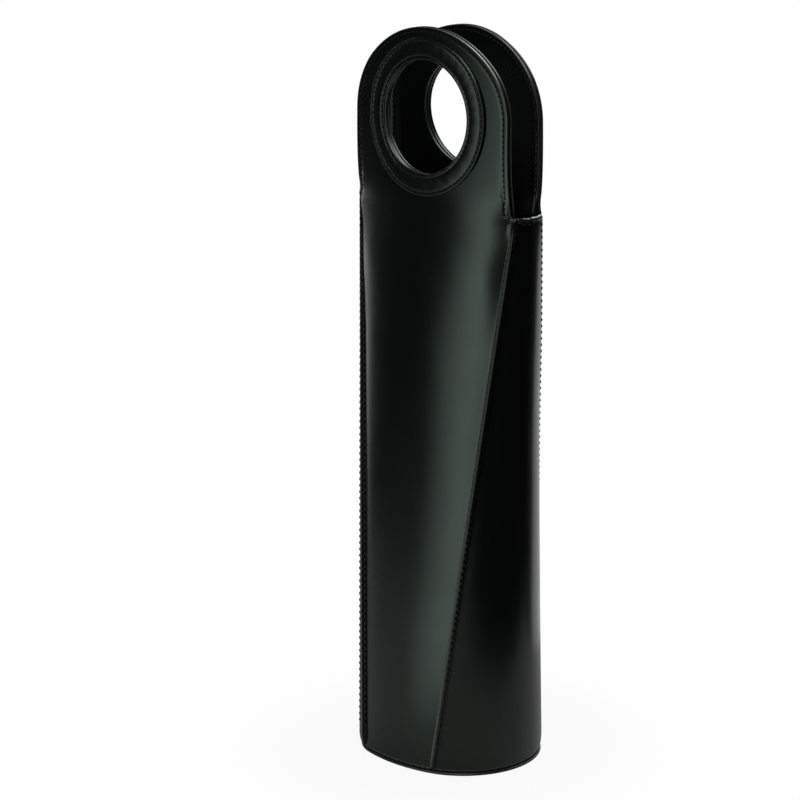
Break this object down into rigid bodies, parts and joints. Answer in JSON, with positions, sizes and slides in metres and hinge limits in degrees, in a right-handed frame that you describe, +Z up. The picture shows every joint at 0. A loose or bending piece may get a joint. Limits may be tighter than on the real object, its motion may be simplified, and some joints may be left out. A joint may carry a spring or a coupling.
{
  "type": "bottle carrier",
  "caption": "Tall soft leather carrier for a bottle: tapering side gussets, oval base, and a stiffened handle tab with a round hand hole at the top of the front and back panels.",
  "frame": {"origin": "centre of the underside of the sole, on the surface it stands on", "axes": "+Z up along the carrier's height, +X across the width of the panels, -Y out of the front panel"},
  "size_m": [0.1152, 0.0892, 0.4],
  "materials": {
    "leather": "satin",
    "lining": "matte",
    "board": "matte",
    "thread": "satin"
  },
  "bodies": {
    "pouch": {"front_panel": "leather", "back_panel": "leather", "right_gusset": "leather", "left_gusset": "leather", "front_lining": "lining", "back_lining": "lining", "right_lining": "lining", "left_lining": "lining", "right_binding": "leather", "left_binding": "leather", "base_sole": "leather", "base_welt": "leather", "base_board": "board", "base_lining": "lining", "front_right_seam_thread": "thread", "front_left_seam_thread": "thread", "back_right_seam_thread": "thread", "back_left_seam_thread": "thread", "base_welt_thread": "thread", "right_hem_thread": "thread", "left_hem_thread": "thread"},
    "front_handle": {"front_handle_leather": "leather", "front_handle_board": "board", "front_handle_facing": "leather", "front_ring_patch": "leather", "front_handle_edge_thread": "thread", "front_ring_outer_thread": "thread", "front_ring_inner_thread": "thread"},
    "back_handle": {"back_handle_leather": "leather", "back_handle_board": "board", "back_handle_facing": "leather", "back_ring_patch": "leather", "back_handle_edge_thread": "thread", "back_ring_outer_thread": "thread", "back_ring_inner_thread": "thread"}
  },
  "joints": [
    {"name": "front_handle_fold", "type": "hinge", "parent": "pouch", "child": "front_handle", "pos_m": [0, -0.0127, 0.288], "axis": [1, 0, 0], "range_deg": [-6.3, 10], "stiffness_Nm_per_rad": 0.3},
    {"name": "back_handle_fold", "type": "hinge", "parent": "pouch", "child": "back_handle", "pos_m": [0, 0.0127, 0.288], "axis": [-1, 0, 0], "range_deg": [-6.3, 10], "stiffness_Nm_per_rad": 0.3}
  ]
}
